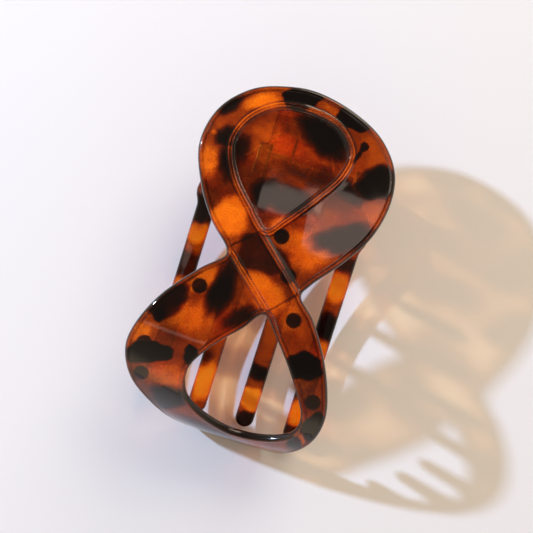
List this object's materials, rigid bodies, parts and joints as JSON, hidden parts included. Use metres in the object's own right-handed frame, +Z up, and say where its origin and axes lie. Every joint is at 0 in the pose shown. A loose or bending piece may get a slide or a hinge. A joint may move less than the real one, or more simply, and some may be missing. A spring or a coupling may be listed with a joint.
{
  "type": "claw clip",
  "caption": "Hair claw clip: arched figure-eight upper jaw with grip pegs, sprung on a hinge pin over a toothed comb jaw with a thumb pad.",
  "frame": {"origin": "bottom centre of the closed clip's bounding box, on the surface it lies on", "axes": "+X across the clip along the hinge pin, +Y along the clip towards the end that is pressed, +Z up from the comb to the shell's outer face"},
  "size_m": [0.059, 0.1012, 0.034],
  "materials": {
    "shell_plastic": "polished translucent tortoiseshell, amber with dark brown blotches",
    "comb_plastic": "polished translucent tortoiseshell, amber with dark brown blotches",
    "pin_steel": "bright drawn steel",
    "spring_steel": "plated spring wire"
  },
  "bodies": {
    "shell_jaw": {"figure_eight_shell": "shell_plastic", "upper_loop_panel": "shell_plastic", "grip_peg_01": "shell_plastic", "grip_peg_02": "shell_plastic", "grip_peg_03": "shell_plastic", "grip_peg_04": "shell_plastic", "grip_peg_05": "shell_plastic", "grip_peg_06": "shell_plastic", "grip_peg_07": "shell_plastic", "grip_peg_08": "shell_plastic", "grip_peg_09": "shell_plastic", "grip_peg_10": "shell_plastic", "grip_peg_11": "shell_plastic", "grip_peg_12": "shell_plastic", "grip_peg_13": "shell_plastic", "shell_hinge_lug_left": "shell_plastic", "shell_hinge_lug_right": "shell_plastic", "hinge_pin": "pin_steel", "torsion_spring": "spring_steel"},
    "comb_jaw": {"comb_body": "comb_plastic", "thumb_pad": "comb_plastic", "comb_tine_1": "comb_plastic", "comb_tine_2": "comb_plastic", "comb_tine_3": "comb_plastic", "comb_tine_4": "comb_plastic", "comb_hinge_lug_left": "comb_plastic", "comb_hinge_lug_right": "comb_plastic"}
  },
  "joints": [
    {"name": "jaw_hinge", "type": "hinge", "parent": "shell_jaw", "child": "comb_jaw", "pos_m": [0.0008, 0.028, 0.017], "axis": [1, 0, 0], "range_deg": [0, 45], "stiffness_Nm_per_rad": 0.08, "springref_deg": -34.38, "deforming": ["torsion_spring"]}
  ]
}
